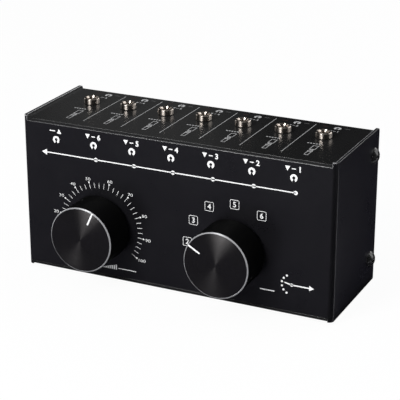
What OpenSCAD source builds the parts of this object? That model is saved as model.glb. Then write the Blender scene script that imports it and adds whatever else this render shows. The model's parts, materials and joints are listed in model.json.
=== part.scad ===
// Audio source selector: a case of three folded sheets with seven round plug sockets along its top,
// a level control and a six-way source switch behind two turned knobs.
// Millimetres. +Z is up and -Y is the front. The origin is under the middle of the whole part.

/* [Case] */
// Width across the side plates
case_w = 150; // [146:1:170]
// Depth of the side plates
case_d = 52; // [50:1:60]
// Height of the side plates
case_h = 72; // [70:1:84]
// Sheet thickness
sheet = 1.2; // [1:0.1:1.5]
// Outer radius of the bends
bend_r = 2.2; // [2:0.1:2.6]
// Rise of the side plates above the top plate
top_lip = 0.8; // [0.4:0.1:1.2]
// Reach of the side plates below the bottom plate
base_lip = 0.6; // [0.3:0.1:1]
// Reach of the side plates behind the rear plate
rear_lip = 0.6; // [0.3:0.1:1]
// Radius of the side plates' upper rear corner
corner_r = 1.6; // [1:0.1:3]
// Radius of the side plates' lower rear corner
heel_r = 0.5; // [0.3:0.1:1]
// Clear gap between the folded sheets
sheet_gap = 0.15; // [0.1:0.05:0.25]
// Clearance around parts that pass through a sheet
hole_clear = 0.15; // [0.1:0.05:0.25]

/* [Feet and screws] */
// Foot diameter
foot_d = 8; // [6:0.5:10]
// Foot height
foot_h = 2; // [1.5:0.1:3]
// Distance of the feet from the ends of the case
foot_in_x = 14; // [12:1:20]
// Distance of the feet from the front and rear of the case
foot_in_y = 9; // [8:1:14]
// Case screw shank diameter
screw_d = 3; // [2.5:0.1:3.5]
// Case screw head diameter
head_d = 7.6; // [6.5:0.1:8.5]
// Case screw head height
head_h = 2.2; // [1.7:0.1:2.6]
// Case screw length under the head
screw_l = 6; // [5:0.5:8]
// Distance of the case screws from the rear edge of the side plates
screw_in_y = 5.4; // [5:0.2:7]
// Distance of the case screws from the upper and lower edges
screw_in_z = 11.5; // [11:0.5:14]

/* [Sockets] */
// Spacing of the sockets
socket_pitch = 19; // [17:0.5:20]
// Distance of the sockets behind the front face
socket_y = 31; // [29:0.5:32]
// Bore that takes the plug
plug_d = 3.6; // [3.55:0.05:3.7]
// Diameter of the countersunk mouth
mouth_d = 5; // [4.4:0.1:5.2]
// Outer diameter of the threaded sleeve
sleeve_d = 5.8; // [5.6:0.1:6]
// Outer diameter of the round nut
nut_d = 7.2; // [7:0.1:8]
// Height of the round nut
nut_h = 2.8; // [2:0.1:3.2]
// Diameter of the sleeve's flange
flange_d = 8.4; // [8:0.1:9]
// Width of the housing
body_w = 11; // [10.5:0.1:12]
// Depth of the housing
body_d = 12; // [11:0.1:13]
// Reach of the plug below the sleeve's mouth
plug_l = 14; // [13.5:0.1:14.5]

/* [Controls] */
// Level control, distance from the middle of the case
level_x = -36.5; // [-40:0.5:-34]
// Source switch, distance from the middle of the case
source_x = 28.7; // [26:0.1:34]
// Height of both control axes above the lower edge of the case
axis_h = 25; // [23:0.5:30]
// Level pointer, degrees clockwise from upright
level_at = 25; // [-124:1:124]
// Source pointer, degrees clockwise from upright
source_at = -60; // [-120:30:30]
// Shaft diameter
shaft_d = 6; // [5.8:0.1:6.4]
// Radial running clearance of the shafts
run_clear = 0.03; // [0.02:0.01:0.06]
// Thread diameter of the level control's bush
level_bush_d = 8; // [7.6:0.1:9]
// Thread diameter of the source switch's bush
source_bush_d = 9.5; // [9:0.1:10]
// Diameter of the level control's case
level_d = 17; // [16.5:0.1:18]
// Length of the level control's case
level_l = 12; // [11:0.5:14]
// Diameter of the source switch's case
source_d = 26; // [25:0.1:27]
// Length of the source switch's case
source_l = 15; // [14.5:0.5:18]

/* [Knobs] */
// Knob diameter
knob_d = 30; // [27:0.5:32]
// Knob length
knob_l = 17; // [16:0.5:20]
// Gap between knob and front face
knob_gap = 1.2; // [0.8:0.1:2]
// Width of the bright cut edge around the face
rim = 0.5; // [0.3:0.1:0.8]
// Width of the pointer groove
groove_w = 0.9; // [0.6:0.1:1.2]
// Depth of the pointer groove
groove_deep = 0.4; // [0.3:0.1:0.6]
// Inner end of the pointer groove, from the axis
groove_in = 8.5; // [7:0.1:10]
// Diameter of the recess behind the knob
recess_d = 20; // [19:0.5:22]
// Grub screw diameter
grub_d = 3; // [2.5:0.1:3.5]
// Grub screw length
grub_l = 6; // [5:0.5:7]

/* [Hidden] */
$fn = 64;
// cut overrun past a face
over = 1;
// clearance between a thread and its hole
thread_clear = 0.05;
// clearance around seated inner parts
seat_clear = 0.1;
// clearance between parts that move past each other
move_gap = 0.4;

// heights and depths of the case's faces
knob_out = knob_gap + knob_l;
y_face = -(case_d + knob_out) / 2;
y_front = y_face + knob_out;
y_in = y_front + sheet;
y_rear = y_front + case_d;
y_back = y_rear - rear_lip;
z_base = foot_h - base_lip;
z_top = z_base + case_h;
z_floor = foot_h;
z_deck = z_top - top_lip;
z_under = z_deck - sheet;
z_axis = z_base + axis_h;
tray_w = case_w - 2 * sheet - 2 * sheet_gap;
tab_l = 2 * screw_in_y;
tab_h = 14;
tab_up = 9;
tab_relief = 0.5;
screw_y = y_rear - screw_in_y;
screw_low = z_base + screw_in_z;
screw_high = z_top - screw_in_z;
screw_zs = [screw_low, screw_high];
z_seam = screw_high - tab_up / 2;
cross_w = 0.9;
cross_share = 0.58;
cross_floor = 0.35;

// sockets
socket_names = ["out", "in_6", "in_5", "in_4", "in_3", "in_2", "in_1"];
socket_n = len(socket_names);
y_socket = y_front + socket_y;
z_mouth = z_deck + nut_h;
nut_edge = 0.35;
nut_heel = 0.35;
flange_t = 1;
tail_d = 5.2;
tail_l = 1.5;
cavity_d = 4.2;
floor_t = 1.2;
tip_room = 0.6;
z_pit = z_mouth - plug_l - tip_room;
z_body = z_pit - floor_t;
blade_t = 0.3;
blade_w = 2;
blade_r = 3.9;
pin_w = 0.8;
pin_out = 1.2;
pin_turns = [90, 210, 330];
plug_clear = 0.1;
tip_low = 2.6;
tip_high = 5.2;
ring_low = 5.4;
ring_in = 1.6;
hook_l = 1;
hook_out = 0.5;
blade_root = 0.8;

// board under the sockets
board_t = 1.6;
board_side = 2.5;
board_fore = 9;
board_aft = 12;
board_w = (socket_n - 1) * socket_pitch + body_w + 2 * board_side;
board_front = y_socket - board_fore;
board_rear = y_socket + board_aft;
z_board = z_body - board_t;
pin_hole_d = 1.2;
wire_d = 1.1;
wire_bend = 2;
upper_row = 5;
lower_row = 2.4;
level_rise = [0.62, 0.4];
level_row = [2, 5];

// level control
plate_t = 1.2;
bush_out = 4.2;
washer_t = 0.5;
lock_t = 2;
lock_wall = 2;
peg_d = 2;
can_t = 0.5;
y_can = y_in + plate_t;
track_t = 1.2;
track_y = [2.4, 7.6];
track_d = level_d - 2 * can_t;
track_room = 0.5;
track_hole_d = shaft_d + 2 * (move_gap + track_room);
arm_in = 2.5;
arm_d = level_d - 2 * arm_in;
arm_t = 1.5;
finger = 0.8;
lug_w = 1.2;
lug_t = 0.6;
lug_pitch = 5;
lug_h = 14;
lug_foot = 2.5;
lug_side = 2;
mouth_w = 2 * (lug_pitch + lug_side);
mouth_floor = 2;
track_out = 1;
stop_bite = 1;
level_lo = -124;
level_hi = 124;

// source switch
source_plate_t = 2;
y_barrel = y_in + source_plate_t;
barrel_t = 0.7;
wafer_t = 1.6;
y_wafer = y_barrel + source_l - wafer_t;
ring_t = 5;
ring_d = source_d - 2 * barrel_t;
ball_d = 3.2;
ball_r = ring_d / 2 - ball_d;
crest_gap = 0.3;
crest_r = ball_r + ball_d / 2 + crest_gap;
notch_d = 3.8;
notch_in = 1;
notch_r = crest_r - notch_in;
hub_d = 2 * (ball_r + crest_gap);
hub_t = ring_t - 2 * move_gap;
coil_wall = 1.2;
coil_in = shaft_d / 2 + coil_wall;
coil_d = 2.8;
coil_wire = 0.4;
coil_turns = 4;
coil_slices = 16;
coil_step = 30;
step = 30;
source_lo = -120;
source_hi = 30;
stop_w = 2;
stop_t = 2;
boss_wall = 2;
boss_d = shaft_d + 2 * boss_wall;
stop_r = boss_d / 2 + move_gap;
stop_root_r = (crest_r + ring_d / 2) / 2;
stud_d = 1.2;
stud_out = 4.8;
stud_head_d = 2.2;
stud_head_t = 0.4;
stud_in = 3;
stud_r = source_d / 2 - stud_in;
stud_n = 12;
common_r = 5;
tail_pin_d = 4;
carrier_in = 1.5;
carrier_d = 2 * (stud_r - carrier_in);
carrier_t = 2;
spring_t = 0.3;
spring_w = 1.6;

// knobs
knob_clear = 0.03;
knob_wall = 3.5;
knob_back = 0.3;
hex_deep = 2;
shaft_step = 1;
recess_room = 1.2;
recess_l = bush_out - knob_gap + recess_room;
grub_z = (knob_wall + knob_l - recess_l) / 2;
y_shaft = y_face + knob_wall + move_gap;
clip_t = 0.6;
clip_out = 0.8;
clip_in = 0.4;
clip_mouth = 1.8;

function socket_x(i) = (i - (socket_n - 1) / 2) * socket_pitch;
function stud_turn(k) = step * k;

// angle that a stop lug's half width and its clearance take up at a radius
function stop_turn(r) = asin((stop_w / 2 + move_gap) / r);

// piece of a flat ring between two dial angles, clockwise from the local -Y
module sector(r0, r1, from, to, h) {
    rotate(from - 90) rotate_extrude(angle = to - from) translate([r0, 0]) square([r1 - r0, h]);
}

// places a part on a control axis: its local +Z runs to the rear and its local -Y points up
module on_axis(x, y) {
    translate([x, y, z_axis]) rotate([-90, 0, 0]) children();
}

// flat plate with its two front corners rounded, open at the rear
module front_round(w, d, r) {
    translate([-w / 2, r]) square([w, d - r]);
    translate([-w / 2 + r, 0]) square([w - 2 * r, r + over]);
    for (s = [-1, 1]) translate([s * (w / 2 - r), r]) circle(r);
}

// three-sided sheet seen from above
module sheet_u(w, d, r) {
    difference() {
        front_round(w, d, r);
        translate([0, sheet]) front_round(w - 2 * sheet, d, r - sheet);
    }
}

// removes a square corner outside a radius, along the whole width
module corner_cut(y, z, r, up) {
    translate([-case_w / 2 - over, y, z]) rotate([90, 0, 90]) linear_extrude(case_w + 2 * over)
        difference() {
            translate([-r, up > 0 ? -r : -over]) square([r + over, r + over]);
            translate([-r, -up * r]) circle(r);
        }
}

// front panel and both side plates in one folded sheet
module front_cover() {
    flat_w = case_w - 2 * bend_r;
    color("DimGray") difference() {
        translate([0, y_front, z_base]) linear_extrude(case_h) sheet_u(case_w, case_d, bend_r);
        translate([-flat_w / 2, y_front - over, z_under - sheet_gap])
            cube([flat_w, sheet + 2 * over, case_h]);
        translate([-flat_w / 2, y_front - over, z_base - over])
            cube([flat_w, sheet + 2 * over, over + base_lip + sheet + sheet_gap]);
        corner_cut(y_rear, z_top, corner_r, 1);
        corner_cut(y_rear, z_base, heel_r, -1);
        on_axis(level_x, y_front - over)
            cylinder(d = level_bush_d + 2 * hole_clear, h = sheet + 2 * over);
        on_axis(source_x, y_front - over)
            cylinder(d = source_bush_d + 2 * hole_clear, h = sheet + 2 * over);
        peg(level_x, level_d, peg_d + 2 * hole_clear, over);
        peg(source_x, source_d, peg_d + 2 * hole_clear, over);
        for (z = screw_zs) translate([-case_w / 2 - over, screw_y, z]) rotate([0, 90, 0])
            cylinder(d = screw_d + 4 * hole_clear, h = case_w + 2 * over);
    }
}

// pin that keeps a control from turning in the panel
module peg(x, d, w, past) {
    on_axis(x, y_in - sheet - past) translate([0, d / 2 - peg_d, 0]) cylinder(d = w, h = sheet + 2 * past);
}

// notches at both front corners of a plate, clear of the cover's bends
module front_notches() {
    notch_w = bend_r + sheet_gap;
    for (s = [-1, 1]) translate([s * case_w / 2 - notch_w, y_front - over, z_floor - over])
        cube([2 * notch_w, notch_w + over, case_h]);
}

// top, rear and bottom plates as one fold, before it is parted at the seam in the rear
module rear_fold() {
    tall = z_deck - z_floor;
    translate([-tray_w / 2, 0, z_floor + tall / 2]) rotate([90, 0, 90]) linear_extrude(tray_w)
        translate([y_back, 0]) rotate(90) sheet_u(tall, y_back - y_front, bend_r);
}

// bends two tabs forward from the ends of a rear plate, around a height
module with_tabs(z, h) {
    difference() {
        children();
        for (s = [-1, 1])
            translate([s * tray_w / 2 - bend_r, y_back - sheet - over, z - h / 2 - tab_relief])
                cube([2 * bend_r, sheet + 2 * over, h + 2 * tab_relief]);
    }
    translate([0, y_back, z - h / 2]) rotate(180) linear_extrude(h) sheet_u(tray_w, tab_l, bend_r);
}

// threaded holes through both tabs at a height
module tab_holes(z) {
    translate([-case_w / 2, screw_y, z]) rotate([0, 90, 0])
        cylinder(d = screw_d + 2 * thread_clear, h = case_w);
}

// bottom plate and the rear plate up to the seam, with the tabs for the lower screws
module rear_chassis() {
    color("SlateGray") difference() {
        with_tabs(screw_low, tab_h) difference() {
            rear_fold();
            translate([-case_w / 2, y_front - over, z_seam - sheet_gap])
                cube([case_w, case_d + over, case_h]);
        }
        front_notches();
        tab_holes(screw_low);
    }
}

// top plate that carries the sockets, with its rear flange and the tabs for the upper screws
module top_plate() {
    color("LightSlateGray") difference() {
        with_tabs(screw_high, tab_up) difference() {
            rear_fold();
            translate([-case_w / 2, y_front - over, 0]) cube([case_w, case_d + over, z_seam]);
        }
        front_notches();
        for (i = [0:socket_n - 1]) translate([socket_x(i), y_socket, z_under - over])
            cylinder(d = sleeve_d + 2 * hole_clear, h = sheet + 2 * over);
        tab_holes(screw_high);
    }
}

// four domed cross-head screws through the side plates into the tabs
module cover_screws() {
    ball = (head_d * head_d / 4 + head_h * head_h) / (2 * head_h);
    color("Black") for (s = [-1, 1], z = screw_zs)
        translate([s * case_w / 2, screw_y, z]) rotate([0, s * 90, 0]) difference() {
            union() {
                intersection() {
                    translate([0, 0, head_h - ball]) sphere(ball);
                    cylinder(d = head_d, h = head_h);
                }
                translate([0, 0, -screw_l]) cylinder(d = screw_d, h = screw_l + head_h / 2);
            }
            for (a = [0, 90]) rotate(a)
                translate([-head_d * cross_share / 2, -cross_w / 2, head_h * cross_floor])
                    cube([head_d * cross_share, cross_w, head_h]);
        }
}

// four round stick-on feet under the bottom plate
module rubber_feet() {
    color("DarkSlateGray") for (s = [-1, 1], y = [y_front + foot_in_y, y_rear - foot_in_y])
        translate([s * (case_w / 2 - foot_in_x), y, 0]) cylinder(d = foot_d, h = foot_h);
}

// round nuts that clamp the sockets to the top plate
module jack_nuts() {
    hole = sleeve_d / 2 + thread_clear;
    color("Silver") for (i = [0:socket_n - 1]) translate([socket_x(i), y_socket, z_deck]) rotate_extrude()
        polygon([
            [hole, 0], [nut_d / 2 - nut_heel, 0], [nut_d / 2, nut_heel], [nut_d / 2, nut_h - nut_edge],
            [nut_d / 2 - nut_edge, nut_h], [hole, nut_h]
        ]);
}

// threaded sleeve with a flange below the plate and a countersunk mouth
module sleeve(i) {
    flare = (mouth_d - plug_d) / 2;
    fall = z_mouth - z_under;
    color("LightGray") translate([socket_x(i), y_socket, z_under]) rotate_extrude()
        polygon([
            [plug_d / 2, -flange_t - tail_l],
            [tail_d / 2, -flange_t - tail_l],
            [tail_d / 2, -flange_t],
            [flange_d / 2, -flange_t],
            [flange_d / 2, 0],
            [sleeve_d / 2, 0],
            [sleeve_d / 2, fall],
            [mouth_d / 2, fall],
            [plug_d / 2, fall - flare]
        ]);
}

// moulded socket body with a plug cavity and three contact slots
module housing(i) {
    h = z_under - z_body;
    slot_top = h - flange_t;
    color("DarkSlateGray") translate([socket_x(i), y_socket, z_body]) difference() {
        translate([-body_w / 2, -body_d / 2, 0]) cube([body_w, body_d, h]);
        translate([0, 0, floor_t]) cylinder(d = cavity_d, h = h);
        translate([0, 0, h - flange_t]) cylinder(d = flange_d + 2 * seat_clear, h = flange_t + over);
        translate([0, 0, h - flange_t - tail_l - seat_clear])
            cylinder(d = tail_d + 2 * seat_clear, h = flange_t + tail_l + over);
        for (a = pin_turns) rotate(a) {
            translate([0, -blade_w / 2 - seat_clear, floor_t])
                cube([blade_r, blade_w + 2 * seat_clear, slot_top - floor_t]);
            translate([blade_r - blade_t - seat_clear, -pin_w / 2 - seat_clear, -over])
                cube([blade_t + seat_clear, pin_w + 2 * seat_clear, floor_t + 2 * over]);
        }
    }
}

// spring contact: leg against the slot, arm bent in to the plug; low and high are heights over the floor
module blade(low, high) {
    inner = plug_d / 2 + plug_clear;
    leg = blade_r - blade_t;
    rotate([90, 0, 0]) translate([0, 0, -blade_w / 2]) linear_extrude(blade_w)
        polygon([
            [leg, floor_t], [blade_r, floor_t], [blade_r, high], [leg, high], [inner, low],
            [inner + hook_out, low - hook_l], [inner + hook_out + blade_t, low - hook_l],
            [inner + blade_t, low], [leg, high - blade_root]
        ]);
    translate([leg, -pin_w / 2, -board_t - pin_out]) cube([blade_t, pin_w, floor_t + board_t + pin_out]);
}

// tip and ring springs and the earth strip of one socket
module contacts(i) {
    h = z_under - z_body - flange_t;
    color("Goldenrod") translate([socket_x(i), y_socket, z_body]) {
        rotate(pin_turns[0]) blade(floor_t + tip_low, floor_t + tip_high);
        rotate(pin_turns[1]) blade(floor_t + ring_low, h - ring_in);
        rotate(pin_turns[2]) {
            translate([blade_r - blade_t, -blade_w / 2, floor_t]) cube([blade_t, blade_w, h - floor_t]);
            translate([blade_r - blade_t, -pin_w / 2, -board_t - pin_out])
                cube([blade_t, pin_w, floor_t + board_t + pin_out]);
        }
    }
}

// circuit board that joins the sockets
module jack_board() {
    color("DarkGreen") difference() {
        translate([-board_w / 2, board_front, z_board]) cube([board_w, board_rear - board_front, board_t]);
        for (i = [0:socket_n - 1], a = pin_turns)
            translate([socket_x(i), y_socket, z_board - over]) rotate(a)
                translate([blade_r - blade_t / 2, 0, 0]) cylinder(d = pin_hole_d, h = board_t + 2 * over);
    }
}

// quarter bend of wire from local +Z to local +Y
module elbow() {
    translate([0, wire_bend, 0]) rotate([90, 0, -90]) rotate_extrude(angle = 90)
        translate([wire_bend, 0]) circle(d = wire_d);
}

// straight wire
module run(l) {
    cylinder(d = wire_d, h = l);
}

// wires from the level control's lugs, up and back to the board
module volume_wires() {
    z_lug = z_axis + lug_h;
    rise = z_board - z_lug;
    color("Firebrick") for (g = [0, 1], k = [-1:1]) {
        up = rise * level_rise[g];
        y0 = y_can + track_y[g] + track_t / 2;
        y1 = board_front + level_row[g];
        translate([level_x + k * lug_pitch, y0, z_lug]) {
            run(up - wire_bend);
            translate([0, 0, up - wire_bend]) elbow();
            translate([0, wire_bend, up]) rotate([-90, 0, 0]) run(y1 - y0 - 2 * wire_bend);
            translate([0, y1 - y0, up + wire_bend]) rotate([180, 0, 0]) elbow();
            translate([0, y1 - y0, up + wire_bend]) run(rise - up - wire_bend);
        }
    }
}

// one wire from a switch stud, back and up to the board
module stud_wire(x, z, back) {
    y0 = y_wafer + wafer_t + stud_out;
    y1 = board_rear - back;
    translate([source_x + x, y0, z_axis + z]) {
        rotate([-90, 0, 0]) run(y1 - y0 - wire_bend);
        translate([0, y1 - y0, wire_bend]) rotate([180, 0, 0]) elbow();
        translate([0, y1 - y0, wire_bend]) run(z_board - z_axis - z - wire_bend);
    }
}

// wires from the source switch's studs to the board, the lower studs' in a row of their own
module selector_wires() {
    color("SteelBlue") {
        for (k = [0:stud_n - 1]) {
            a = stud_turn(k);
            stud_wire(stud_r * sin(a), stud_r * cos(a), cos(a) > 0 ? upper_row : lower_row);
        }
        for (s = [-1, 1]) stud_wire(s * common_r * sin(step), common_r * cos(step), upper_row);
    }
}

// threaded bush with its mounting plate and peg
module bush(x, d, plate_d, t) {
    difference() {
        union() {
            on_axis(x, y_in) cylinder(d = plate_d, h = t);
            on_axis(x, y_front - bush_out) cylinder(d = d, h = bush_out + sheet + t);
            peg(x, plate_d, peg_d, 0);
        }
        on_axis(x, y_front - bush_out - over)
            cylinder(d = shaft_d + 2 * run_clear, h = bush_out + sheet + t + 2 * over);
    }
}

// flat washer between panel and nut
module washer(x, d) {
    on_axis(x, y_front - washer_t) difference() {
        cylinder(d = d + 2 * lock_wall, h = washer_t);
        translate([0, 0, -over]) cylinder(d = d + 2 * thread_clear, h = washer_t + 2 * over);
    }
}

// six-sided nut on a bush
module lock_nut(x, d) {
    on_axis(x, y_front - washer_t - lock_t) difference() {
        cylinder(d = d + 2 * lock_wall, h = lock_t, $fn = 6);
        translate([0, 0, -over]) cylinder(d = d + 2 * thread_clear, h = lock_t + 2 * over);
    }
}

// ring in the shaft's groove, in front of the bush
module clip(x) {
    on_axis(x, y_front - bush_out - move_gap - clip_t) difference() {
        cylinder(d = shaft_d + 2 * clip_out, h = clip_t);
        translate([0, 0, -over]) cylinder(d = shaft_d - 2 * clip_in, h = clip_t + 2 * over);
        translate([-clip_mouth / 2, 0, -over]) cube([clip_mouth, shaft_d, clip_t + 2 * over]);
    }
}

// shaft with the clip's groove; tail is the thinner rear end
module shaft(x, l, tail, tail_w) {
    y_clip = y_front - bush_out - move_gap - clip_t;
    on_axis(x, y_shaft) difference() {
        union() {
            cylinder(d = shaft_d, h = l);
            cylinder(d = tail_w, h = l + tail);
        }
        translate([0, 0, y_clip - y_shaft]) difference() {
            cylinder(d = shaft_d + over, h = clip_t);
            translate([0, 0, -over]) cylinder(d = shaft_d - 2 * clip_in, h = clip_t + 2 * over);
        }
    }
}

// turned knob with a blind bore, rear recess, pointer groove and grub screw hole
module knob(x, at) {
    r = knob_d / 2;
    on_axis(x, y_face) rotate(at) difference() {
        rotate_extrude() polygon([
            [0, 0], [r - rim, 0], [r, rim], [r, knob_l - knob_back], [r - knob_back, knob_l], [0, knob_l]
        ]);
        translate([0, 0, knob_wall]) cylinder(d = shaft_d + 2 * knob_clear, h = knob_l);
        translate([0, 0, knob_l - recess_l]) cylinder(d = recess_d, h = recess_l + over);
        translate([-groove_w / 2, -r - over, -over])
            cube([groove_w, r + over - groove_in, over + groove_deep]);
        translate([0, 0, grub_z]) rotate([-90, 0, 0]) cylinder(d = grub_d + 2 * thread_clear, h = r + over);
    }
}

// headless screw that pins a knob to its shaft, with a hexagon socket
module grub_screw(x, at) {
    on_axis(x, y_face) rotate(at) translate([0, shaft_d / 2, grub_z]) rotate([-90, 0, 0]) difference() {
        cylinder(d = grub_d, h = grub_l);
        translate([0, 0, grub_l - hex_deep]) cylinder(d = grub_d / 2, h = hex_deep + over, $fn = 6);
    }
}

module volume_bush() {
    color("Silver") bush(level_x, level_bush_d, level_d, plate_t);
}

module volume_washer() {
    color("Silver") washer(level_x, level_bush_d);
}

module volume_lock_nut() {
    color("Silver") lock_nut(level_x, level_bush_d);
}

// pressed can around the level control's two tracks, open at the top for the lugs
module volume_can() {
    dead = (level_lo + level_hi) / 2 + 180;
    block = 180 - (level_hi - level_lo) / 2 - stop_turn(arm_d / 2 + stop_bite);
    color("LightSteelBlue") on_axis(level_x, y_can) {
        difference() {
            cylinder(d = level_d, h = level_l);
            translate([0, 0, -over]) cylinder(d = track_d, h = level_l - can_t + over);
            translate([-mouth_w / 2, -level_d, -over])
                cube([mouth_w, level_d - mouth_floor, level_l - can_t + over]);
        }
        translate([0, 0, level_l - can_t - arm_t])
            sector(arm_d / 2 + move_gap, level_d / 2, dead - block, dead + block, arm_t);
    }
}

// two round track wafers, one for each channel
module volume_tracks() {
    color("SaddleBrown") for (y = track_y) on_axis(level_x, y_can + y) difference() {
        union() {
            cylinder(d = track_d, h = track_t);
            translate([move_gap - mouth_w / 2, -level_d / 2 - track_out, 0])
                cube([mouth_w - 2 * move_gap, level_d / 2, track_t]);
        }
        translate([0, 0, -over]) cylinder(d = track_hole_d, h = track_t + 2 * over);
    }
}

// three solder lugs on the front of each track wafer
module volume_lugs() {
    foot = level_d / 2 - lug_foot;
    color("Gold") for (y = track_y, k = [-1:1])
        translate([level_x + k * lug_pitch - lug_w / 2, y_can + y - lug_t, z_axis + foot]) {
            cube([lug_w, lug_t, lug_h - foot]);
            translate([0, 0, lug_h - foot - lug_t]) cube([lug_w, lug_t + track_t, lug_t]);
        }
}

module volume_shaft() {
    y_end = y_can + level_l - can_t - move_gap;
    color("LightGray") shaft(level_x, y_end - y_shaft, 0, shaft_d - shaft_step);
}

module volume_clip() {
    color("Gray") clip(level_x);
}

// wiper discs behind each track, with two fingers each and a lug that meets the can's stop
module volume_wipers() {
    lug_r = track_d / 2 - 2 * move_gap;
    color("Khaki") for (y = track_y) on_axis(level_x, y_can + y + track_t + 2 * move_gap) rotate(level_at)
        difference() {
            union() {
                cylinder(d = arm_d, h = arm_t);
                translate([-stop_w / 2, -lug_r, 0]) cube([stop_w, lug_r - shaft_d / 2, arm_t]);
                for (r = [shaft_d / 2 + finger, arm_d / 2 - finger])
                    translate([-finger / 2, -r - finger / 2, -move_gap])
                        cube([finger, finger, move_gap + arm_t]);
            }
            translate([0, 0, -over]) cylinder(d = shaft_d, h = arm_t + 2 * over);
        }
}

module volume_knob() {
    color("DimGray") knob(level_x, level_at);
}

module volume_grub_screw() {
    color("Gray") grub_screw(level_x, level_at);
}

module selector_bush() {
    color("Silver") bush(source_x, source_bush_d, source_d, source_plate_t);
}

module selector_washer() {
    color("Silver") washer(source_x, source_bush_d);
}

module selector_lock_nut() {
    color("Silver") lock_nut(source_x, source_bush_d);
}

// moulded barrel around the index ring and the wafer
module selector_barrel() {
    color("DarkSlateGray") on_axis(source_x, y_barrel) difference() {
        cylinder(d = source_d, h = source_l);
        translate([0, 0, -over]) cylinder(d = ring_d, h = source_l + 2 * over);
    }
}

// fixed ring with a notch for every step, and a stop behind each end of the hub's travel
module selector_index_ring() {
    past = 2 * stop_turn(stop_r);
    color("Gainsboro") on_axis(source_x, y_barrel) {
        difference() {
            cylinder(d = ring_d, h = ring_t + stop_t);
            translate([0, 0, -over]) cylinder(r = crest_r, h = ring_t + stop_t + 2 * over);
            for (k = [0:stud_n - 1]) rotate(step * k) translate([0, notch_r, -over])
                cylinder(d = notch_d, h = ring_t + over);
        }
        translate([0, 0, ring_t]) {
            sector(stop_r, stop_root_r, source_hi + past / 2, source_hi + past, stop_t);
            sector(stop_r, stop_root_r, source_lo - past, source_lo - past / 2, stop_t);
        }
    }
}

// rear wafer that carries the studs and the shaft's tail
module selector_wafer() {
    color("SaddleBrown") on_axis(source_x, y_wafer) difference() {
        cylinder(d = ring_d, h = wafer_t);
        translate([0, 0, -over]) cylinder(d = tail_pin_d + 2 * run_clear, h = wafer_t + 2 * over);
        stud_holes() translate([0, 0, -over])
            cylinder(d = stud_d + 2 * thread_clear, h = wafer_t + 2 * over);
    }
}

// the twelve stud places around the wafer and the two common ones
module stud_holes() {
    for (k = [0:stud_n - 1]) rotate(stud_turn(k)) translate([0, -stud_r, 0]) children();
    for (s = [-1, 1]) rotate(s * step) translate([0, -common_r, 0]) children();
}

// contact studs with a flat head inside and a solder pin outside
module selector_studs() {
    color("Gold") on_axis(source_x, y_wafer) stud_holes() {
        translate([0, 0, -stud_head_t]) cylinder(d = stud_head_d, h = stud_head_t);
        cylinder(d = stud_d, h = wafer_t + stud_out);
    }
}

module selector_shaft() {
    y_step = y_wafer - stud_head_t - move_gap;
    color("LightGray") shaft(source_x, y_step - y_shaft, y_wafer + wafer_t - y_step, tail_pin_d);
}

module selector_clip() {
    color("Gray") clip(source_x);
}

// moulded hub on the shaft with two blind holes for the sprung balls and a disc that carries the wipers
module selector_hub() {
    y_disc = y_wafer - stud_head_t - move_gap - spring_t - carrier_t;
    color("Ivory") difference() {
        union() {
            on_axis(source_x, y_barrel + move_gap) cylinder(d = hub_d, h = hub_t);
            on_axis(source_x, y_barrel + move_gap) cylinder(d = boss_d, h = y_disc - y_barrel - move_gap);
            on_axis(source_x, y_disc) cylinder(d = carrier_d, h = carrier_t);
            on_axis(source_x, y_barrel + ring_t + move_gap) rotate(source_at)
                translate([-stop_w / 2, -crest_r + move_gap, 0])
                    cube([stop_w, crest_r - shaft_d / 2, stop_t - move_gap]);
        }
        on_axis(source_x, y_barrel) cylinder(d = shaft_d, h = source_l);
        for (s = [0, 180]) ball_place(s) translate([0, 0, coil_in])
            cylinder(d = ball_d + 2 * seat_clear, h = hub_d);
    }
}

// axis of one sprung ball, local +Z outwards
module ball_place(s) {
    on_axis(source_x, y_barrel + ring_t / 2) rotate(source_at + s) rotate([90, 0, 0]) children();
}

// index balls, one on each side of the hub
module selector_balls() {
    color("LightGray") for (s = [0, 180]) ball_place(s) translate([0, 0, ball_r]) sphere(d = ball_d);
}

// coil springs behind the index balls
module selector_springs() {
    l = ball_r - ball_d / 2 - coil_in;
    arc = [for (a = [0:coil_step:180]) [cos(a), sin(a)]];
    half_ring = concat(
        [for (p = arc) p * coil_d / 2],
        [for (i = [len(arc) - 1:-1:0]) arc[i] * (coil_d / 2 - coil_wire)]
    );
    color("Gray") for (s = [0, 180]) ball_place(s) translate([0, 0, coil_in])
        linear_extrude(l, twist = 360 * coil_turns, slices = coil_slices * coil_turns, $fn = 8)
            polygon(half_ring);
}

// spring blades on the hub that join a common stud to one source stud
module selector_wipers() {
    y_blade = y_wafer - stud_head_t - move_gap - spring_t;
    color("Goldenrod") for (s = [0, 180]) on_axis(source_x, y_blade) rotate(source_at + s)
        translate([-spring_w / 2, -carrier_d / 2, 0])
            cube([spring_w, carrier_d / 2 - tail_pin_d, spring_t]);
}

module selector_knob() {
    color("DimGray") knob(source_x, source_at);
}

module selector_grub_screw() {
    color("Gray") grub_screw(source_x, source_at);
}

front_cover();
rear_chassis();
top_plate();
cover_screws();
rubber_feet();
jack_nuts();
for (i = [0:socket_n - 1]) {
    sleeve(i);
    housing(i);
    contacts(i);
}
jack_board();
volume_wires();
selector_wires();
volume_bush();
volume_washer();
volume_lock_nut();
volume_can();
volume_tracks();
volume_lugs();
volume_shaft();
volume_clip();
volume_wipers();
volume_knob();
volume_grub_screw();
selector_bush();
selector_washer();
selector_lock_nut();
selector_barrel();
selector_index_ring();
selector_wafer();
selector_studs();
selector_shaft();
selector_clip();
selector_hub();
selector_balls();
selector_springs();
selector_wipers();
selector_knob();
selector_grub_screw();
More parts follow.
